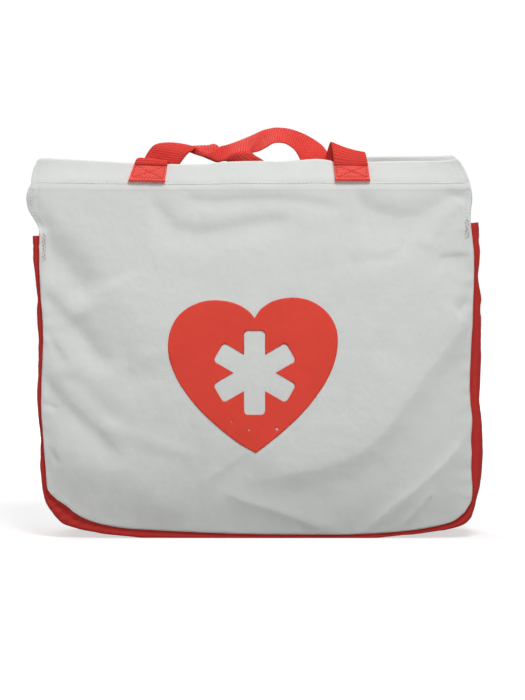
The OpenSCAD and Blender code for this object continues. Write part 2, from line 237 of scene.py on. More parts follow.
# The sewn edge, down the left and up the right
SEAM_LEFT = LEFT[LEFT[:, 1] > STRIP_TOP_PX[0]]
SEAM_RIGHT = RIGHT[RIGHT[:, 1] > STRIP_TOP_PX[1]][::-1]
SEAM = np.vstack([SEAM_LEFT[::8], BOTTOM[::8], SEAM_RIGHT[::8]]).tolist()

# Sizes that part.scad has too
BAG_D, MOUTH_D, MOUTH_SIDE_D, HEM_LEAN, BELLY = 70.0, 51.0, 62.0, 6.0, 7.0
STRIP_TOP, FLAP_H, BAG_H, HEM_Z, CALM, HALF_W = 214.0, 48.0, 262.0, 241.0, 96.0, 150.0
WEB_W, WEB_T, TAB_H = 25.0, 1.3, 15.0
AXIS_Y, AXIS_Z = 28.8436, 263.437
# Thicknesses: a ply of panel cloth and a further one, and the same for the strip
CLOTH_T, PLY_T = 0.85, 0.8
STRIP_T, STRIP_PLY_T = 0.7, 0.7
# From the strip's ends to their stitching and to their second ply's edge
STRIP_STITCH, STRIP_HEM = 7.0, 8.0


def x_on(edge, py):
    return np.interp(py, edge[:, 1], edge[:, 0])


def y_on(edge, px):
    return np.interp(px, edge[:, 0], edge[:, 1])


def uv_of(px, py):
    """Place on the panel: u from -1 at the left to 1, v from 0 at the base to 1 at the mouth."""
    left, right = x_on(LEFT, py), x_on(RIGHT, py)
    low, high = y_on(BOTTOM, px), y_on(TOP, px)
    return 2 * (px - left) / (right - left) - 1, (low - py) / (low - high)


def panel_depth(u, v):
    """How far the panel lies from the bag's middle, as in part.scad but by shares of its size."""
    z = v * BAG_H
    hem_share = HEM_Z / BAG_H
    hem_y = (MOUTH_D + HEM_LEAN) / 2
    t = np.clip(v / hem_share, 0, 1)
    body = BAG_D / 2 + BELLY * np.sin(np.pi * t**0.8) - (BAG_D / 2 - hem_y) * t**2.4
    hem = hem_y + (MOUTH_D / 2 - hem_y) * (v - hem_share) / (1 - hem_share)
    mid = np.where(v >= hem_share, hem, body)
    edge = BAG_D / 2 + (MOUTH_SIDE_D - BAG_D) / 2 * smooth((z - STRIP_TOP) / FLAP_H)
    calm = CALM / HALF_W * smooth((z - BAG_H / 3) / (HEM_Z - BAG_H / 3))
    share = np.clip((np.abs(u) - calm) / (1 - calm), 0, 1) ** 2
    return mid + (edge - mid) * share


def along(path, px, py):
    """Distance in pixels from points to a path, on which side they lie, and how far along."""
    best = np.full(np.shape(px), 1e9)
    side = np.zeros(np.shape(px))
    where = np.zeros(np.shape(px))
    for k in range(len(path) - 1):
        (ax, ay), (bx, by) = path[k], path[k + 1]
        dx, dy = bx - ax, by - ay
        t = np.clip(((px - ax) * dx + (py - ay) * dy) / (dx * dx + dy * dy), 0, 1)
        d = np.hypot(px - ax - t * dx, py - ay - t * dy)
        near = d < best
        best = np.where(near, d, best)
        side = np.where(near, np.sign((px - ax) * dy - (py - ay) * dx), side)
        where = np.where(near, (k + t) / (len(path) - 1), where)
    return best, side, where


# Folds: path in pixels, height in millimetres, width in pixels on its two sides, and how rounded
FOLDS = [
    ([(8, 202), (22, 214), (34, 229), (45, 244), (57, 258), (69, 272), (81, 290), (92, 312)],
      -4.5, 17, 22, 2),
    ([(28, 291), (44, 301), (60, 315), (74, 328), (88, 345), (101, 362), (111, 377)],
      -2.5, 10, 19, 2),
    ([(72, 316), (96, 346), (120, 370), (152, 398)], -1.2, 19, 15, 2),
    ([(36, 322), (48, 338), (58, 354), (68, 370)], -1.2, 5, 10, 2),
    ([(112, 276), (135, 308), (150, 340), (160, 376)], 1.3, 30, 26, 2),
    ([(66, 374), (84, 388), (104, 408), (124, 428)], -0.9, 9, 9, 2),
    ([(28, 369), (44, 384), (58, 400), (72, 415), (86, 427), (100, 440), (114, 455), (126, 470)],
      -2.1, 8, 15, 2),
    ([(38, 401), (50, 406), (60, 410)], -0.6, 3, 6, 2),
    ([(38, 440), (52, 454), (60, 467)], -0.9, 3, 4, 2),
    ([(96, 424), (130, 434), (165, 446), (200, 460)], 0.7, 8, 10, 2),
    ([(36, 452), (75, 462), (112, 470), (140, 486), (170, 504), (190, 520)], 2.0, 30, 22, 2),
    ([(350, 204), (372, 213), (395, 220), (420, 218), (440, 207), (458, 197), (482, 188)],
      -2.3, 12, 32, 2),
    ([(466, 200), (446, 214), (434, 234), (428, 258)], 1.0, 8, 14, 2),
    ([(484, 257.5), (462, 257.5), (444, 258.5), (434, 264)], -1.1, 11, 4, 2),
    ([(484, 292), (466, 305), (456, 316)], -1.7, 12, 7, 2),
    ([(486, 304), (462, 328), (444, 350), (427, 372), (409, 397), (391, 423), (370, 446),
      (345, 459), (318, 467.5), (290, 472.5), (262, 479), (226, 486)], 3.4, 15, 46, 1.6),
    ([(474, 424), (462, 444), (446, 462), (430, 478), (412, 493), (392, 508), (372, 526),
      (360, 540)], 1.5, 14, 6, 1.4),
    ([(434, 490), (422, 505), (408, 520), (394, 536)], 0.8, 5, 5, 1.5),
    ([(216, 490), (240, 500), (270, 509), (300, 520), (330, 534), (350, 545)], 1.7, 15, 9, 1.2),
    ([(256, 448), (236, 459), (212, 476), (196, 492)], 0.45, 5, 6, 1.4),
    ([(180, 200), (220, 202), (262, 200), (300, 202), (325, 206), (350, 208)], -0.9, 6, 9, 2),
    ([(144, 200), (163, 217), (176, 230), (196, 235), (225, 232), (252, 226), (275, 222),
      (304, 227)], -1.7, 9, 15, 2),
    ([(345, 264), (372, 261), (392, 259), (404, 246), (412, 230)], -0.5, 6, 6, 2),
    ([(140, 250), (190, 268), (240, 272)], 0.4, 16, 16, 2),
    ([(300, 240), (340, 262), (360, 300)], 0.4, 16, 16, 2),
]  # fmt: skip
REAR_FOLDS = [
    ([(62, 300), (110, 350), (150, 372)], -1.4, 7, 15, 2),
    ([(48, 430), (90, 452), (140, 500)], -1.3, 7, 14, 2),
    ([(468, 330), (430, 372), (400, 385)], -1.4, 7, 16, 2),
    ([(470, 440), (420, 462), (360, 506)], -1.5, 6, 16, 2),
    ([(466, 230), (420, 246), (390, 280)], -1.3, 9, 14, 2),
    ([(40, 225), (80, 246), (112, 290)], -1.2, 9, 14, 2),
    ([(180, 300), (240, 320), (310, 312)], -0.8, 14, 18, 2),
    ([(200, 480), (270, 500), (330, 500)], -0.8, 6, 12, 2),
    ([(160, 205), (220, 222), (330, 214)], -0.8, 8, 12, 2),
]


def folds(px, py, table, fade_in, fade_out, by_chord):
    """Height of a panel's folds, outward.

    Each fades in and out over shares of its path, or of the line between its ends if by_chord.
    """
    h = np.zeros(np.shape(px))
    for path, high, near, far, power in table:
        d, side, share = along(path, px, py)
        if by_chord:
            (x0, y0), (dx, dy) = path[0], np.subtract(path[-1], path[0])
            share = np.clip(((px - x0) * dx + (py - y0) * dy) / (dx * dx + dy * dy), 0, 1)
        width = np.where(side > 0, near, far)
        ends = smooth(share / fade_in) * smooth((1 - share) / fade_out)
        h += high * np.exp(-((d / width) ** power)) * ends
    return h


def slow_noise(a, b, seed, scale, octaves=3):
    """Smooth noise from sums of tilted waves, the same on every run."""
    rng = np.random.default_rng(seed)
    out = np.zeros(np.shape(a))
    for o in range(octaves):
        for _ in range(5):
            turn, shift = rng.uniform(0, 2 * np.pi, 2)
            k = 2 * np.pi / (scale / 2**o) * rng.uniform(0.7, 1.3)
            out += np.sin(k * (a * np.cos(turn) + b * np.sin(turn)) + shift) / 2**o / 5
    return out


# What differs between the panels: the hem's share of the mouth's dip, its groove's depth, the
# puckers' height and two rates, the fine noise's seed, and the broad one's height, seed and scale
CLOTH = {
    -1: {
        "folds": (FOLDS, 0.12, 0.22, True), "dip": 1.0, "groove": 0.2, "pucker": (0.3, 260, 61),
        "fine": 3, "broad": (0.5, 11, 150),
    },
    1: {
        "folds": (REAR_FOLDS, 0.15, 0.3, False), "dip": 0.0, "groove": 0.3,
        "pucker": (0.45, 240, 53), "fine": 5, "broad": (0.6, 17, 140),
    },
}  # fmt: skip


def panel_height(px, py, side=-1):
    """How far a panel's outer face lies from the bag's middle plane."""
    cloth = CLOTH[side]
    u, v = uv_of(px, py)
    d, _, where = along(SEAM, px, py)
    dip = (y_on(TOP, px) - MOUTH_PX) * cloth["dip"]
    from_hem = py - HEM_PX - dip * 0.25
    # The seam's groove, and small puckers beside it
    high, rate, wander = cloth["pucker"]
    pucker = high * np.sin(where * rate + 2 * np.sin(where * wander)) * np.exp(-d / 7) * (d > 0.5)
    h = panel_depth(np.clip(u, -1, 1), np.clip(v, 0, 1)) + pucker - GROOVE * bell(d, SEAM_GROOVE_PX)
    # Folds and broad swells, which die out at the seam and stay small in the hem
    high, seed, scale = cloth["broad"]
    broad = high * slow_noise(px, py, seed, scale, 2) * np.clip(v * 6, 0, 1)
    calm = (1 - bell(d, SEAM_CALM_PX)) * (0.15 + 0.85 * smooth((from_hem - 2) / 14))
    h += (folds(px, py, *cloth["folds"]) + broad) * calm
    h += UNEVEN * slow_noise(px, py, cloth["fine"], 34, 3)
    # The hem: a groove at its stitching, and a step down where its inner ply ends
    h -= cloth["groove"] * bell(from_hem, HEM_GROOVE_PX)
    h -= PLY_STEP * step((py - HEM_INNER_PX - dip * 0.2) * 1.4)
    if side < 0:
        # The front sags outward in its lower half, and its hem stands proud over the stitching
        sag = np.sin(np.pi * np.clip(v / 0.5, 0, 1) ** 0.75)
        h += SAG * sag * (1 - bell(d, ROUNDING_PX)) + LIP * bell(from_hem + 5, 4)
    return h


def on_panel(px, py, height, side, lifted=True):
    """Points over a panel's pixels. The rear one's mouth edge is lifted a little at the right."""
    if side < 0:
        return place(px, py, height)
    p = place(px, py, BAG_D / 2)
    p[..., 1] = height
    if lifted:
        v = np.clip(uv_of(px, py)[1], 0, 1)
        p[..., 0] += REAR_SHIFT * smooth((p[..., 0] - 95) / 40) * v**4
        reach = smooth((p[..., 0] - 62) / 18) * smooth((154 - p[..., 0]) / 19)
        p[..., 2] += REAR_RISE * reach * smooth((v - 0.55) / 0.45) ** 2
    return p


def coons(cols, rows):
    """Pixel places of the panel's grid, with rows from the base up."""
    u = np.linspace(0, 1, cols)
    v = np.linspace(0, 1, rows)

    def pick(curve, t):
        return between(t, np.linspace(0, 1, len(curve)), curve)

    low, high = pick(BOTTOM, u), pick(TOP, u)
    left, right = pick(LEFT[::-1], v), pick(RIGHT[::-1], v)
    uu, vv = u[None, :, None], v[:, None, None]
    edge = (1 - vv) * low[None] + vv * high[None] + (1 - uu) * left[:, None] + uu * right[:, None]
    corner = (
        (1 - uu) * (1 - vv) * low[0]
        + uu * (1 - vv) * low[-1]
        + (1 - uu) * vv * high[0]
        + uu * vv * high[-1]
    )
    return edge - corner


def panel(name, side, cols, rows):
    """A panel's cloth as a closed sheet, with more plies in its hems and along its seam."""
    p = coons(cols, rows)
    px, py = p[..., 0], p[..., 1]
    left = np.where(py < STRIP_TOP_PX[0], px - x_on(LEFT, py), 99)
    right = np.where(py < STRIP_TOP_PX[1], x_on(RIGHT, py) - px, 99)
    near = np.minimum(left, right)
    height = panel_height(px, py, side) - GROOVE * bell(near - SIDE_STITCH_PX, 1.3)
    height -= SIDE_PLY_STEP * step((near - SIDE_HEM_PX) * 1.5)
    outer = on_panel(px, py, height, side)
    outer[..., 2] = np.maximum(outer[..., 2], 0.4)
    plies = np.maximum(step((HEM_INNER_PX - py) * 1.2), step((SIDE_HEM_PX - near) * 1.5))
    plies = np.maximum(plies, bell(along(SEAM, px, py)[0], ALLOWANCE_PX))
    inner = outer - normals_of(outer, 1, side) * (CLOTH_T + PLY_T * plies)[..., None]
    uv = np.stack([px * SCALE, -py * SCALE], -1)
    if side > 0:
        outer, inner, uv = outer[:, ::-1], inner[:, ::-1], uv[:, ::-1]
    return slab(name, outer, inner, uv)


def seam_stations(count):
    """Even places round the sewn edge, outward directions, shares of the way, and its length."""
    path = np.vstack([SEAM_LEFT, BOTTOM[1:], SEAM_RIGHT[1:]])
    run = run_of(path)
    want = np.linspace(0, run[-1], count)
    p = between(want, run, path)
    d = np.stack([smoothed(column, 23) for column in np.gradient(p, axis=0).T], -1)
    d /= np.linalg.norm(d, axis=1, keepdims=True)
    return p, np.stack([-d[:, 1], d[:, 0]], -1), want / run[-1], run[-1]


def outline_gap(p, out):
    """Distance in pixels from each place outward to the strip's outline."""
    line = np.array(STRIP_PX)
    a, d = line[:-1][None], np.diff(line, axis=0)[None]
    cross = out[:, None, 0] * d[..., 1] - out[:, None, 1] * d[..., 0]
    cross = np.where(np.abs(cross) < 1e-9, 1e-9, cross)
    to = a - p[:, None]
    k = (to[..., 0] * d[..., 1] - to[..., 1] * d[..., 0]) / cross
    t = (to[..., 0] * out[:, None, 1] - to[..., 1] * out[:, None, 0]) / cross
    gap = np.where((t >= -0.02) & (t <= 1.02) & (k > 0) & (k < 22), k, 99).min(1)
    known = gap < 90
    return smoothed(np.interp(np.arange(len(p)), np.flatnonzero(known), gap[known]), 9)


def strip_surface():
    """The strip's outer face: rows round the bag, columns from the front seam to the rear one.

    Also the distance in millimetres along the seam, and the share across from -1 to 1.
    """
    p, out, share, length = seam_stations(560)
    t = np.linspace(-1, 1, 61)
    t = np.sign(t) * (1 - (1 - np.abs(t)) ** 1.6)
    ss, tt = np.meshgrid(share * length * SCALE, t, indexing="ij")
    # The swell between the two seams reaches the outline. It is flatter under the base
    low = np.clip(out[:, 1], 0, 1) ** 2
    swell = (outline_gap(p, out) + 2.0 * np.abs(out[:, 0])) * SCALE * (1 + 0.3 * low)
    profile = 1 - np.abs(t)[None] ** (9 + 40 * low**2)[:, None]
    # Slack creases, pulled in only, and small tucks beside the seams
    slack = slow_noise(ss, tt * 35, 23, 52, 3) * 2.2
    slack = slack + slow_noise(ss * 2.2, tt * 18, 29, 34, 2) * 0.9 - 0.8
    slack = 0.23 - np.log1p(np.exp(-3 * slack)) / 3
    fade = 1 - np.abs(tt) ** 8
    tuck = 0.35 * np.sin(ss * 1.25 + 3 * np.sin(ss * 0.21)) * np.exp(-(1 - np.abs(tt)) * 9) * fade
    slack = slack * (0.12 + 0.88 * (1 - np.abs(tt) ** 1.5)) + tuck
    offset = swell[:, None] * profile + slack * fade
    edge = place(p[:, 0], p[:, 1], BAG_D / 2)
    x = edge[:, 0][:, None] + out[:, 0][:, None] * offset
    z = edge[:, 2][:, None] - out[:, 1][:, None] * offset
    z = np.where(z < 0.25, 0.25 * np.exp((z - 0.25) / 3.0), z)
    # The two faces beside the seams are hollow, more so with a dent at the left bottom corner
    depth = np.interp(edge[:, 2], [STRIP_TOP - 12, STRIP_TOP + 6], [35, 34.6])
    dent = bell(share - 0.288, 0.03)[:, None] * bell(profile - 0.5, 0.3)
    hollow = dent * (1.0 + 0.7 * np.sin(ss * 0.9 + profile * 4)) + 1.5 * bell(profile - 0.3, 0.17)
    y = tt * (depth[:, None] - 1.1 * np.abs(tt) ** 14) - np.sign(tt) * hollow
    return np.stack([x, y, z], -1), ss, tt


def strip():
    """The strip as a closed sheet with a hem at each end, its outer face and the seam's length."""
    outer, ss, tt = strip_surface()
    n = normals_of(outer, 2, -1)
    ends = np.minimum(ss, ss.max() - ss)
    outer = outer - n * (GROOVE * bell(ends - STRIP_STITCH, 0.7))[..., None]
    plies = step((STRIP_HEM - ends) * 1.6)
    inner = outer - n * (STRIP_T + STRIP_PLY_T * plies)[..., None]
    obj = slab("side_and_base_cloth", outer, inner, np.stack([tt * 35, ss], -1))
    return fix_normals(obj), outer, ss.max()


def strap(name, world, creased=None):
    """Webbing through rows of three points: one edge, the middle and the other edge.

    creased says how sharply a row is folded along its middle, from 0 to 1.
    """
    count, across, rib, rib_high = 640, 21, 1.75, 0.04
    crease = [[10 * (creased or {}).get(k, 0.0)] for k in range(len(world))]
    both = spline(np.hstack([world.reshape(len(world), 9), crease]), count)
    rows, fold = both[:, :9].reshape(count, 3, 3), np.clip(both[:, 9] / 10, 0, 1)[:, None, None]
    c = np.linspace(-1, 1, across)
    curved = np.stack([c * (c - 1) / 2, 1 - c * c, c * (c + 1) / 2], 0)
    folded = np.stack([np.clip(-c, 0, 1), 1 - np.abs(c), np.clip(c, 0, 1)], 0)
    mid = np.einsum("ikx,ikj->ijx", rows, curved[None] * (1 - fold) + folded[None] * fold)
    run = run_of(mid[:, across // 2])
    s = run[:, None] * np.ones(across)
    ribs = rib_high * np.cos(2 * np.pi * s / rib) * (1 - np.abs(c[None]) ** 10)
    half = WEB_T / 2 * (1 - 0.55 * np.abs(c[None]) ** 12)
    off = normals_of(mid) * (half + ribs)[..., None]
    uv = np.stack([np.broadcast_to(c * WEB_W / 2, s.shape), s], -1)
    return fix_normals(slab(name, mid + off, mid - off, uv)), run[-1]


# The front handle's rows: px, py and y in millimetres of one edge, the middle and the other edge
FRONT_ROWS = [
    (134.8, 164.4, -28, 151, 164.8, -28, 167.3, 165.4, -28),
    (135.4, 160.8, -27.8, 152, 161.8, -27.8, 167.6, 163, -27.8),
    (137.6, 158.3, -26.9, 153, 159.8, -26.9, 168.4, 161.3, -26.9),
    (140, 158.8, -25, 155, 160.6, -25, 170, 162.2, -25),
    (142, 162.5, -22.4, 158, 165, -22.4, 174, 167, -22.4),
    (142.5, 164, -18.5, 161, 168, -18.5, 176.8, 169.5, -18.5),
    (143.5, 160.5, -16, 164, 165, -16.5, 179.3, 165, -16.5),
    (147, 153.5, -15.8, 168, 157.5, -16.5, 184, 158.5, -16.5),
    (151.5, 147.5, -16, 171.5, 149.5, -16.5, 188, 153.8, -16),
    (156, 144.6, -14, 174.5, 144.2, -14, 192, 151, -14.5),
    (162, 145.2, -10, 180, 144.4, -9.5, 196.5, 148.2, -12),
    (172, 147, -3, 188, 149, -8, 200, 150.8, -13),
    (184, 146.5, 3, 195, 153.4, -10, 205, 152.3, -13.5),
    (196, 145.8, 6, 202.5, 155.8, -12, 209.5, 152.6, -14),
    (207, 145.4, 6, 209.5, 158.8, -12.5, 214, 150.6, -12),
    (217, 145.2, 5, 217.5, 161.5, -12.5, 220, 146.6, -7),
    (229, 160.6, -10, 225, 159.3, -14, 227.5, 144.8, -1),
    (241, 162, -14.5, 234.5, 154, -15.5, 236.5, 141.7, 4),
    (263, 161.4, -15.5, 242, 152.9, -15.5, 244, 138.8, 7),
    (257.5, 157.6, -15, 248, 152.8, -15, 250, 136.3, 8),
    (250.5, 153.4, -13, 253.5, 146, -8, 256.3, 133.4, 9),
    (259, 151, -13, 261.2, 141.7, -3, 263, 130.4, 9.5),
    (267, 146.8, -12.5, 269, 138, -1, 270.3, 128.6, 11),
    (274.5, 142.9, -11, 276.3, 135, 0.5, 277.6, 127.8, 11.5),
    (285, 143.4, -9, 287.5, 135.8, 1.5, 289, 129, 10.5),
    (294, 149.2, -9, 298.5, 141.3, -0.5, 302, 133.2, 7.5),
    (299, 157, -11, 307, 147.5, -4, 313, 139, 3),
    (302, 165, -14, 313, 154.5, -9, 322, 145.4, -3),
    (307, 174, -16, 319, 162.5, -12.5, 327, 151.5, -8),
    (318, 182, -17, 323.5, 167, -15, 327.5, 153, -11.5),
    (337, 182, -17.5, 332, 168, -17, 327, 153, -15),
    (351, 172, -18.5, 339, 162.5, -18.5, 327.5, 150.5, -17.5),
    (360, 160.5, -20.5, 344.5, 154.5, -20.5, 328.8, 146, -19.5),
    (364.6, 152.8, -23, 348.5, 149.2, -23, 330.6, 142, -22.5),
    (366, 155.6, -25.8, 349.8, 153.6, -26, 331.8, 147, -25.3),
    (367, 160, -27.6, 350.6, 159, -27.6, 333, 155, -27.4),
    (367.9, 165, -28, 351.2, 165, -28, 334, 164.4, -28),
]
# How sharply it is folded along its middle, by row
CREASED = {16: 0.7, 17: 1.0, 18: 1.0, 19: 1.0, 20: 0.25}
# The webbing's way over the rear mouth edge to its sewn end: (y, z)
REAR_BEND = [(28.0, 258.5), (27.9, 261.5), (28.5, 264.2), (30.0, 264.4), (30.7, 261.8)]


def rear_rows():
    """The rear handle as in part.scad: a rounded loop that hangs, on edge at its lowest."""
    drop, pitch, square = 64.0, 141.5, 0.8
    hang, twist = math.radians(17), math.radians(60)
    down = np.array([0, math.sin(hang), -math.cos(hang)])
    out = np.array([0, math.cos(hang), math.sin(hang)])
    rows = []
    for i in range(1, 40):
        a = math.pi * i / 40
        cx, sx = math.cos(a), math.sin(a)
        inner = np.array([cx, 0, 0]) - down * sx
        inner /= np.linalg.norm(inner)
        turn = twist * sx**1.5
        w = inner * math.cos(turn) + out * math.sin(turn)
        x = -math.copysign(abs(cx) ** square, cx) * pitch / 2
        c = np.array([x, AXIS_Y, AXIS_Z]) + down * (sx**square * drop)
        rows.append([c - w * WEB_W / 2, c, c + w * WEB_W / 2])
    roots = []
    for side in (-1, 1):
        half = np.array([-side * WEB_W / 2, 0, 0])
        centres = [np.array([side * pitch / 2, y, z]) for y, z in REAR_BEND]
        roots.append([[c - half, c, c + half] for c in centres])
    return np.array(roots[0] + rows + roots[1][::-1])


def sewn_end(name, side, corners, seed):
    """Two plies of webbing on the hem, rolled at the bottom fold, with stitch lines sunk in.

    corners are pixels: top left, top right, bottom right, bottom left.
    """
    tl, tr, br, bl = np.array(corners, float)
    b, a = np.meshgrid(np.linspace(0, 1, 46), np.linspace(0, 1, 40), indexing="ij")
    bb, aa = b[..., None], a[..., None]
    p = (1 - bb) * ((1 - aa) * tl + aa * tr) + bb * ((1 - aa) * bl + aa * br)
    px, py = p[..., 0], p[..., 1]
    base = panel_height(px, py, side)
    base = base.mean(axis=1, keepdims=True) * 0.5 + base * 0.5
    # A box and its diagonals are sewn: half its width, height and diagonal, and its middle
    box_w, box_h, diagonal, box_z = 11.2, 5.0, 12.3, -0.8
    x, z = (a - 0.5) * WEB_W, (b - 0.5) * TAB_H
    up, beyond = z - box_z, 99 * (np.abs(x) > box_w)
    upright = np.abs(np.abs(x) - box_w) + 99 * (np.abs(up) > box_h)
    level = np.abs(np.abs(up) - box_h) + beyond
    cross = np.minimum(np.abs(x * box_h - up * box_w), np.abs(x * box_h + up * box_w))
    cross = cross / diagonal + beyond
    sunk = 0.3 * bell(np.minimum.reduce([upright, level, cross]), 0.6)
    roll = np.sqrt(np.clip(1 - (np.clip(b - 0.84, 0, 1) / 0.16) ** 2, 0, 1))
    # Two plies, thicker at the fold, thin out round it and at the top edge
    lift = 2.45 + 0.55 * bell(b - 0.88, 0.07) + 0.12 * slow_noise(x * 6, z * 6, seed, 40, 2) - sunk
    lift = lift * (0.25 + 0.75 * roll) - 1.3 * (1 - smooth((b - 0.07) / 0.09))
    height = base + lift * (1 - 0.18 * np.abs(a * 2 - 1) ** 14)
    outer = on_panel(px, py, height, side, lifted=False)
    inner = on_panel(px, py, base + 0.05, side, lifted=False)
    return fix_normals(slab(name, outer, inner, np.stack([x, z], -1))), outer


# A stitch's rings: place along it, width and height, as shares of its own
STITCH_RINGS = [(-0.36, 0.75, 0.7), (0.0, 1.0, 1.0), (0.36, 0.75, 0.7)]
STITCH_SIDES = 6


def stitches(name, runs, pitch=2.7, long=2.1, wide=0.5, high=0.34):
    """Thread dashes along runs of (points, normals), as one object."""
    verts, faces = [], []
    for points, normals in runs:
        run = run_of(points)
        for s in np.arange(pitch / 2, run[-1], pitch):
            c, ahead, behind = between(np.array([s, s + long / 2, s - long / 2]), run, points)
            n = between(s, run, normals)
            d = ahead - behind
            d /= max(np.linalg.norm(d), 1e-9)
            n -= d * (n @ d)
            n /= max(np.linalg.norm(n), 1e-9)
            b = np.cross(n, d)
            first, m = len(verts), STITCH_SIDES
            verts.append(c - d * long / 2 - n * 0.12)
            for share, w, h in STITCH_RINGS:
                for k in range(m):
                    turn = 2 * math.pi * k / m
                    up = n * (math.sin(turn) * high / 2 * h + high * 0.2)
                    verts.append(c + d * share * long + b * math.cos(turn) * wide / 2 * w + up)
            verts.append(c + d * long / 2 - n * 0.12)
            for k in range(m):
                k2 = (k + 1) % m
                p = first + 1
                faces.append([first, p + k2, p + k])
                for p in (first + 1, first + 1 + m):
                    faces.append([p + k, p + k2, p + m + k2, p + m + k])
                p = first + 1 + 2 * m
                faces.append([p + k, p + k2, p + m])
    return mesh(name, verts, faces)


# The film's faces over the cloth, and the heart's halves from its dip to its tip
FILM_TOP, FILM_BASE = 0.12, 0.02
HEART_LEFT_PX = [
    (254.5, 318.2), (249, 311.5), (238, 304.5), (224, 300.8), (208, 300.6), (193, 305),
    (180, 314), (171.5, 327), (168, 343), (169.6, 360), (176.5, 378), (188, 396),
    (203, 413.5), (220, 429), (238, 443), (255.6, 453.2),
]  # fmt: skip
HEART_RIGHT_PX = [
    (254.5, 318.2), (261, 309), (272, 301.6), (286, 298), (301, 298.2), (316, 303.5),
    (328.5, 314), (336, 327.5), (337.8, 342), (335.4, 359), (328, 378), (316.5, 396),
    (302, 413.5), (287, 428), (271, 441.5), (255.6, 453.2),
]  # fmt: skip
# The print's grid, and bare chips in it: middle and radius
PRINT_GRID_PX = 2.1
CHIPS_PX = [((277, 429), 1.3), ((249, 430), 1.0), ((231.5, 421), 0.7)]


def star_px():
    """The bare six-armed star: three rounded bars that cross at 60 degrees."""
    centre, arm, half, radius = (254.6, 372.8), 42.0, 10.5, 4.2
    points = []
    for k in range(6):
        a = math.radians(90 + 60 * k)
        u = np.array([math.cos(a), math.sin(a)])
        v = np.array([-u[1], u[0]])
        for sign, start, end in ((-1, -v, u), (1, u, v)):
            corner = u * (arm - radius) + v * (half - radius) * sign
            for q in np.radians(np.linspace(0, 90, 7)):
                points.append(corner + radius * (start * math.cos(q) + end * math.sin(q)))
        e = a + math.radians(30)
        points.append(np.array([math.cos(e), math.sin(e)]) * half / math.sin(math.radians(30)))
    return np.array(points) + np.array(centre)


def inside(poly, pts):
    """Which points lie inside a closed outline, by counting the edges to their right."""
    x, y = pts[:, 0][:, None], pts[:, 1][:, None]
    x1, y1 = poly[:, 0][None], poly[:, 1][None]
    x2, y2 = np.roll(poly[:, 0], -1)[None], np.roll(poly[:, 1], -1)[None]
    slope = (x2 - x1) * (y - y1) / np.where(y2 == y1, 1e-9, y2 - y1)
    return (((y1 > y) != (y2 > y)) & (x < slope + x1)).sum(1) % 2 == 1


def print_film():
    """The printed film: the heart without the star and a few chips, just proud of the cloth."""
    left, right = spline(HEART_LEFT_PX, 70), spline(HEART_RIGHT_PX, 70)
    heart, star = np.vstack([left, right[::-1][1:-1]]), star_px()
    turns = np.linspace(0, 2 * math.pi, 7)[:-1]
    chips = [
        np.stack([cx + r * np.cos(turns) * 1.2, cy + r * np.sin(turns)], 1)
        for (cx, cy), r in CHIPS_PX
    ]
    rings = [heart, star] + chips
    gx, gy = (np.arange(*ends, PRINT_GRID_PX) for ends in ((165, 341), (296, 456)))
    gx, gy = np.meshgrid(gx, gy)
    pts = np.stack([gx.ravel(), gy.ravel()], 1)
    ok = inside(heart, pts) & ~inside(star, pts)
    points, edges = [], []
    for ring in rings:
        ok &= np.min(np.hypot(*(pts[:, None] - ring[None]).transpose(2, 0, 1)), axis=1) > 1.0
        first = len(points)
        edges += [(first + k, first + (k + 1) % len(ring)) for k in range(len(ring))]
        points += ring.tolist()
    points += pts[ok].tolist()
    v, _, f, *_ = delaunay_2d_cdt([Vector(q) for q in points], edges, [], 0, 1e-5)
    v, f = np.array([[q.x, q.y] for q in v]), np.array(f)
    mid = v[f].mean(axis=1)
    keep = inside(heart, mid)
    for ring in rings[1:]:
        keep &= ~inside(ring, mid)
    used, f = np.unique(f[keep], return_inverse=True)
    v, f = v[used], f.reshape(-1, 3)
    px, py = v.T
    layers = (place(px, py, panel_height(px, py) + up) for up in (FILM_TOP, FILM_BASE))
    uv = np.stack([px * SCALE, -py * SCALE], -1)
    edges = {e for a, b, c in f.tolist() for e in ((a, b), (b, c), (c, a))}
    rim = [(a, b) for a, b in sorted(edges) if (b, a) not in edges]
    return fix_normals(shell("printed_heart", *layers, uv, f, rim))


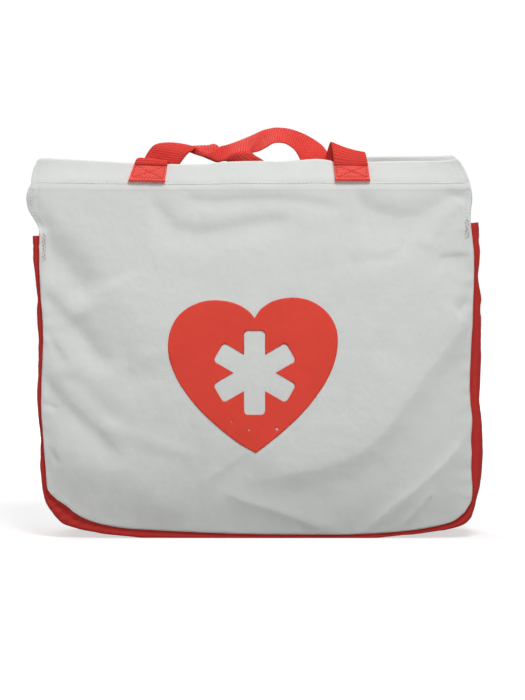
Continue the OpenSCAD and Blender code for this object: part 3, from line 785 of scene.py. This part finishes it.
class Nodes:
    """The nodes of a material or world, made and linked in short calls."""

    def __init__(self, owner):
        owner.use_nodes = True
        self.owner = owner
        self.tree = owner.node_tree

    def put(self, value, socket):
        """Links a node's output to a socket, or gives it a plain value."""
        if isinstance(value, bpy.types.NodeSocket):
            self.tree.links.new(value, socket)
        else:
            socket.default_value = value

    def add(self, kind, inputs=None, **props):
        node = self.tree.nodes.new("ShaderNode" + kind)
        for key, value in props.items():
            setattr(node, key, value)
        for key, value in (inputs or {}).items():
            self.put(value, node.inputs[key])
        return node

    def math(self, op, a, b=0.0):
        return self.add("Math", {0: a, 1: b}, operation=op).outputs[0]

    def product(self, a, b):
        return self.math("MULTIPLY", a, b)

    def total(self, *terms):
        """The sum of (value, weight) pairs."""
        out = self.product(*terms[0])
        for term in terms[1:]:
            out = self.math("ADD", out, self.product(*term))
        return out

    def wave(self, value, rate):
        return self.math("SINE", self.product(value, rate))

    def ramp(self, value, low, high, a, b):
        return self.add("MapRange", {0: value, 1: low, 2: high, 3: a, 4: b}).outputs[0]

    def mix(self, share, a, b, mode="MIX"):
        inputs = {0: share, 6: a, 7: b}
        return self.add("Mix", inputs, data_type="RGBA", blend_type=mode).outputs[2]

    def uv(self):
        """Place on the cloth in millimetres."""
        return self.add("UVMap", uv_map="weave").outputs[0]

    def xy(self, vector):
        return self.add("SeparateXYZ", {0: vector}).outputs[:2]

    def scaled(self, vector, x, y):
        return self.add("VectorMath", {0: vector, 1: (x, y, 0.0)}, operation="MULTIPLY").outputs[0]

    def noise(self, vector, scale, detail, rough=0.5, output="Fac"):
        inputs = {"Vector": vector, "Scale": scale, "Detail": detail, "Roughness": rough}
        return self.add("TexNoise", inputs).outputs[output]

    def wavy(self, uv, scale, amount):
        """A place bent a little by noise, so that no thread runs dead straight."""
        bend = self.scaled(self.noise(uv, scale, 2.0, output="Color"), amount, amount)
        return self.add("VectorMath", {0: uv, 1: bend}, operation="ADD").outputs[0]

    def toned(self, colour, tone):
        """A colour times a grey tone."""
        grey = self.add("CombineXYZ", {0: tone, 1: tone, 2: tone}).outputs[0]
        return self.mix(1.0, colour, grey, "MULTIPLY")

    def bump(self, height, distance, strength, **under):
        inputs = {"Height": height, "Distance": distance, "Strength": strength, **under}
        return self.add("Bump", inputs).outputs[0]

    def shade(self, **sockets):
        """Fills the Principled shader's own sockets and returns the material."""
        shader = self.tree.nodes["Principled BSDF"]
        for name, value in sockets.items():
            self.put(value, shader.inputs[name.replace("_", " ")])
        return self.owner


# The white cloth's tone by height: UV (minus the pixel row times SCALE) from and to, and tone from
# and to. Its darkening towards the base and the mouth is painted shade, and the hem's plies are
# lighter, partly as a painted highlight
HEM_AND_PAINTED_SHADE_TONES = [
    (-372.0, -300.0, 0.955, 1.0), (-210.0, -140.0, 1.0, 0.955),
    (-131.0, -130.2, 1.0, 1.09), (-127.0, -126.2, 1.0, 1.045),
]  # fmt: skip


def cloth_material(name, colour, pitch, rough, sheen, spread, weave, crumple, tones=()):
    """Plain-woven cloth: over-and-under threads, uneven threads and faint crumples.

    pitch is the threads' in millimetres, spread the share by which the tone varies, and weave
    and crumple are the bumps' heights in metres.
    """
    n = Nodes(bpy.data.materials.new(name))
    uv = n.uv()
    x, y = n.xy(n.wavy(uv, 0.9, 0.16))
    sx, sy = n.wave(x, math.pi / pitch), n.wave(y, math.pi / pitch)
    thread = n.math("ADD", n.math("ABSOLUTE", sx), n.math("ABSOLUTE", sy))
    relief = n.total((n.product(sx, sy), 0.5), (thread, 0.5))
    weft = n.noise(n.scaled(uv, 0.07, 1.7), 1.0, 3.0)
    warp = n.noise(n.scaled(uv, 1.7, 0.07), 1.0, 3.0)
    tone = n.total((weft, 0.35), (warp, 0.35), (n.noise(uv, 0.012, 4.0, 0.6), 0.5))
    tone = n.ramp(tone, 0.4, 0.8, 1 - spread, 1 + spread)
    # Painted shade in the weave's hollows and a painted highlight on the threads' tops
    tone = n.product(tone, n.ramp(relief, -0.5, 1.4, 1 - spread * 0.9, 1 + spread * 0.3))
    high = n.xy(uv)[1]
    # On the white cloth these bands paint shade by height, and partly a highlight on the hem
    for band in tones:
        tone = n.product(tone, n.ramp(high, *band))
    soft = n.bump(n.noise(uv, 0.05, 2.5, 0.42), crumple * 4, 0.55)
    return n.shade(
        Base_Color=n.toned((*colour, 1.0), tone),
        Normal=n.bump(relief, weave, 0.8, Normal=soft),
        Roughness=n.ramp(tone, 1 - spread, 1 + spread, rough + 0.06, rough - 0.06),
        Specular_IOR_Level=0.25,
        Sheen_Weight=sheen,
        Sheen_Roughness=0.5,
    )


def web_material(name, colour, dark, pitch, rib_share, tones):
    """Ribbed webbing: diagonal floats that cross, with painted shade in the hollows and a slight
    sheen.

    pitch is the floats' across and along in millimetres.
    """
    n = Nodes(bpy.data.materials.new(name))
    uv = n.uv()
    x, y = n.xy(n.wavy(uv, 0.5, 0.4))
    px, py = (n.product(q, 2 * math.pi / size) for q, size in zip((x, y), pitch))
    rising, falling = (n.wave(n.math(op, px, py), 0.5) for op in ("ADD", "SUBTRACT"))
    diamond = n.math("ABSOLUTE", n.product(rising, falling))
    rib = n.ramp(n.math("COSINE", py), -1.0, 1.0, 0.0, 1.0)
    relief = n.total((diamond, 1 - rib_share), (rib, rib_share))
    strands = n.noise(n.scaled(uv, 4.5, 0.6), 1.0, 3.0)
    share = n.math("ADD", relief, n.product(n.math("SUBTRACT", strands, 0.5), 0.5))
    # The dark colour in the weave's hollows is painted shade; the strands' noise makes them uneven
    base = n.mix(n.ramp(share, 0.05, 0.75, 0.0, 1.0), (*dark, 1.0), (*colour, 1.0))
    tone = n.ramp(n.total((n.noise(uv, 0.05, 3.0), 0.7), (strands, 0.3)), 0.3, 0.7, *tones)
    return n.shade(
        Base_Color=n.toned(base, tone),
        Normal=n.bump(n.math("ADD", relief, n.product(strands, 0.3)), 0.0004, 0.8),
        Roughness=n.ramp(relief, 0.0, 1.0, 0.82, 0.6),
        Specular_IOR_Level=0.1,
    )


def print_material(name, colour):
    """Thin screen print: the cloth's weave shows through, with slightly uneven ink."""
    n = Nodes(bpy.data.materials.new(name))
    uv = n.uv()
    x, y = n.xy(uv)
    relief = n.product(n.wave(x, math.pi / 0.6), n.wave(y, math.pi / 0.6))
    ink, speck = n.noise(uv, 0.03, 6.0, 0.6), n.noise(uv, 1.4, 2.0)
    tone = n.ramp(n.total((ink, 0.75), (speck, 0.25)), 0.3, 0.7, 0.93, 1.07)
    return n.shade(
        Base_Color=n.toned((*colour, 1.0), tone),
        Normal=n.bump(n.math("ADD", relief, n.product(speck, 0.6)), 0.00008, 0.6),
        Roughness=n.ramp(ink, 0.3, 0.7, 0.5, 0.62),
        Specular_IOR_Level=0.2,
    )


def thread_material(name, colour):
    """Sewing thread with twisted plies."""
    n = Nodes(bpy.data.materials.new(name))
    twist = n.noise(n.add("TexCoord").outputs["Object"], 2600.0, 2.0)
    tone = n.ramp(twist, 0.35, 0.65, 0.85, 1.08)
    return n.shade(
        Base_Color=n.toned((*colour, 1.0), tone),
        Normal=n.bump(twist, 0.0001, 0.6),
        Roughness=0.6,
        Sheen_Weight=0.2,
    )


# The white cloth takes its painted shade by height from the table of tones above
WHITE = cloth_material(
    "white_cloth", (0.79, 0.812, 0.79), 0.62, 0.9, 0.1, 0.018, 0.00012, 0.0004, HEM_AND_PAINTED_SHADE_TONES
)
RED_CLOTH = cloth_material("red_cloth", (0.56, 0.035, 0.028), 0.5, 0.85, 0.0, 0.07, 0.0001, 0.0006)
PRINT = print_material("red_print", (0.83, 0.066, 0.042))
# The sewn ends are the handle's webbing made lighter in colour and tone: a painted highlight
WEB_TAB_PAINTED_LIGHTER = web_material(
    "webbing_sewn_painted_lighter", (1.0, 0.155, 0.125), (0.84, 0.068, 0.055), (2.4, 2.3), 0.2, (1.06, 1.22)
)
WEB = web_material(
    "webbing_loop", (0.93, 0.085, 0.065), (0.6, 0.033, 0.028), (2.1, 1.75), 0.42, (0.9, 1.1)
)
WHITE_THREAD = thread_material("white_thread", (0.82, 0.82, 0.80))
RED_THREAD = thread_material("red_thread", (0.33, 0.012, 0.012))
TAB_THREAD = thread_material("tab_thread", (0.62, 0.03, 0.028))
PINK_THREAD = thread_material("pink_thread", (0.60, 0.40, 0.39))


def dress(obj, material, body="bag"):
    """Gives a piece its material and slot, and a body if one is named."""
    obj.data.materials.append(material)
    if body:
        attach(obj, body)


front = panel("front_panel_cloth", -1, 280, 228)
dress(front, WHITE)
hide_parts("front_panel")

rear = panel("rear_panel_cloth", 1, 232, 188)
dress(rear, WHITE)
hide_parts("rear_panel")

base_strip, strip_grid, seam_length = strip()
dress(base_strip, RED_CLOTH)
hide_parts("side_and_base_strip")

heart = print_film()
dress(heart, PRINT)
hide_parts("heart_print")

TABS = [
    ("front_left_tab", -1, [(134.8, 162), (167.6, 163.2), (164.7, 182.8), (127.8, 181.8)], 31),
    ("front_right_tab", -1, [(334, 162.6), (367.7, 163), (370.2, 181.2), (335.2, 181.2)], 32),
    ("rear_left_tab", 1, [(136.3, 160.2), (172.6, 160.2), (172.6, 181), (136.3, 181)], 33),
    ("rear_right_tab", 1, [(341.4, 160.2), (377.7, 160.2), (377.7, 181), (341.4, 181)], 34),
]
# Stitch lines on a sewn-down end, as shares of the way down and across
TAB_LINES = [
    ((0.13, 0.03), (0.13, 0.97)), ((0.79, 0.07), (0.79, 0.93)), ((0.16, 0.07), (0.77, 0.07)),
    ((0.16, 0.93), (0.77, 0.93)), ((0.18, 0.09), (0.77, 0.91)), ((0.77, 0.09), (0.18, 0.91)),
]  # fmt: skip
for name, side, corners, seed in TABS:
    obj, grid = sewn_end(name + "_webbing", side, corners, seed)
    dress(obj, WEB_TAB_PAINTED_LIGHTER)
    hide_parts(name)
    tab_runs = []
    for (b0, a0), (b1, a1) in TAB_LINES:
        i = np.linspace(b0, b1, 30) * (grid.shape[0] - 1)
        j = np.linspace(a0, a1, 30) * (grid.shape[1] - 1)
        face = np.tile([0, float(side), 0], (30, 1))
        tab_runs.append((on_grid(grid, i, j) + face * 0.12, face))
    thread = stitches(name + "_stitching", tab_runs, pitch=2.0, long=1.85, wide=0.6)
    dress(thread, TAB_THREAD)

rows = np.array(FRONT_ROWS).reshape(-1, 3, 3)
front_loop = place(rows[..., 0], rows[..., 1], -rows[..., 2])
handle, front_length = strap("front_handle_webbing", front_loop, CREASED)
dress(handle, WEB, None)
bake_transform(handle)  # fmt: skip
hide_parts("front_handle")

rear_handle, rear_length = strap("rear_handle_webbing", rear_rows())
dress(rear_handle, WEB, None)
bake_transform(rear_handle)  # fmt: skip
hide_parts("rear_handle")
print("webbing lengths", round(front_length, 1), round(rear_length, 1))


def on_cloth(points, side, up=0.05):
    """Points and normals for stitches along pixel places on a panel."""
    px, py = np.array(points, float).T
    out = on_panel(px, py, panel_height(px, py, side) + up, side)
    return out, np.tile([0, float(side), 0], (len(px), 1))


hem_x = np.linspace(35, 466, 300)
left_y, right_y = np.linspace(187, 233, 40), np.linspace(187, 219, 40)
hem_lines = [
    np.stack([hem_x, HEM_PX + (y_on(TOP, hem_x) - MOUTH_PX) * 0.25], 1),
    np.stack([x_on(LEFT, left_y) + SIDE_STITCH_PX, left_y], 1),
    np.stack([x_on(RIGHT, right_y) - SIDE_STITCH_PX, right_y], 1),
]
for side, word in ((-1, "front"), (1, "rear")):
    thread = stitches(word + "_hem_stitching", [on_cloth(line, side) for line in hem_lines])
    dress(thread, WHITE_THREAD)

# Close zigzag stitching where the strip's ends meet the free side edges
for name, cx, y0, y1 in (("left_bartack", 44.0, 234, 262), ("right_bartack", 467.0, 219, 239)):
    zig = [(cx + (1.6 if k % 2 else -1.6), y) for k, y in enumerate(np.arange(y0, y1, 1.9))]
    zig = spline(zig, 160)
    for side, word in ((-1, ""), (1, "rear_")):
        thread = stitches(word + name, [on_cloth(zig, side, 0.1)], 2.2, 1.9, 0.45, 0.3)
        dress(thread, PINK_THREAD)

strip_runs = []
normals = normals_of(strip_grid, 2, -1)
for share in (STRIP_STITCH / seam_length, 1 - STRIP_STITCH / seam_length):
    i = np.full(60, share * (strip_grid.shape[0] - 1))
    j = np.linspace(1.5, strip_grid.shape[1] - 2.5, 60)
    face = on_grid(normals, i, j)
    strip_runs.append((on_grid(strip_grid, i, j) + face * 0.05, face))
dress(stitches("strip_hem_stitching", strip_runs), RED_THREAD)

# Camera, light and floor
cam = bpy.data.cameras.new("camera")
cam.lens = 36 * CAM_DIST / (PY * SCALE)
cam.clip_end = 20
camera = bpy.data.objects.new("camera", cam)
camera.location = CAM_POS / 1000
camera.rotation_euler = (math.pi / 2 - CAM_TILT, 0, 0)
bpy.context.collection.objects.link(camera)
bpy.context.scene.camera = camera


def lamp(name, place_at, size, power):
    """A round lamp, in metres and watts, aimed at the bag."""
    data = bpy.data.lights.new(name, "AREA")
    data.shape = "DISK"
    data.size, data.energy = size, power
    obj = bpy.data.objects.new(name, data)
    obj.location = place_at
    aim = Vector((0, 0, 0.12)) - Vector(place_at)
    obj.rotation_euler = aim.to_track_quat("-Z", "Y").to_euler()
    bpy.context.collection.objects.link(obj)


lamp("key", (0.2, -0.78, 1.26), 0.5, 12.4)
lamp("fill", (-1.0, -1.2, 0.45), 1.0, 1.8)
lamp("back", (-0.4, 1.3, 1.2), 1.0, 13)


def background_rays(n):
    """1 for the rays that see the background itself."""
    rays = n.add("LightPath").outputs
    seen = n.math("MAXIMUM", rays["Is Camera Ray"], rays["Is Glossy Ray"])
    return n.math("MAXIMUM", seen, rays["Is Transmission Ray"])


# White to those rays, and a dimmer light on the bag
WORLD_LIGHT = 0.24
world = bpy.data.worlds.new("world")
bpy.context.scene.world = world
n = Nodes(world)
background = n.tree.nodes["Background"]
background.inputs[0].default_value = (1, 1, 1, 1)
n.put(n.ramp(background_rays(n), 0.0, 1.0, WORLD_LIGHT, 1.0), background.inputs[1])

# A grey floor that takes the shadow. To those rays it glows, up to white 1.3 m out
corners = [(-6000, -6000, 0), (6000, -6000, 0), (6000, 6000, 0), (-6000, 6000, 0)]
floor = mesh("floor", corners, [[0, 1, 2, 3]])
floor.data.materials.append(bpy.data.materials.new("floor"))
n = Nodes(floor.data.materials[0])
n.tree.nodes.clear()
ground = n.add("TexCoord").outputs["Object"]
reach = n.add("VectorMath", {0: ground}, operation="LENGTH").outputs["Value"]
inputs = {0: reach, 1: 0.25, 2: 1.3, 3: 0.62, 4: 1.0}
far = n.add("MapRange", inputs, interpolation_type="SMOOTHSTEP").outputs[0]
glow = n.add("Emission", {1: n.product(far, background_rays(n))})
grey = n.add("BsdfDiffuse", {0: (0.5, 0.5, 0.5, 1)})
both = n.add("AddShader", {0: grey.outputs[0], 1: glow.outputs[0]})
n.add("OutputMaterial", {0: both.outputs[0]})

bpy.context.scene.view_settings.view_transform = "Standard"
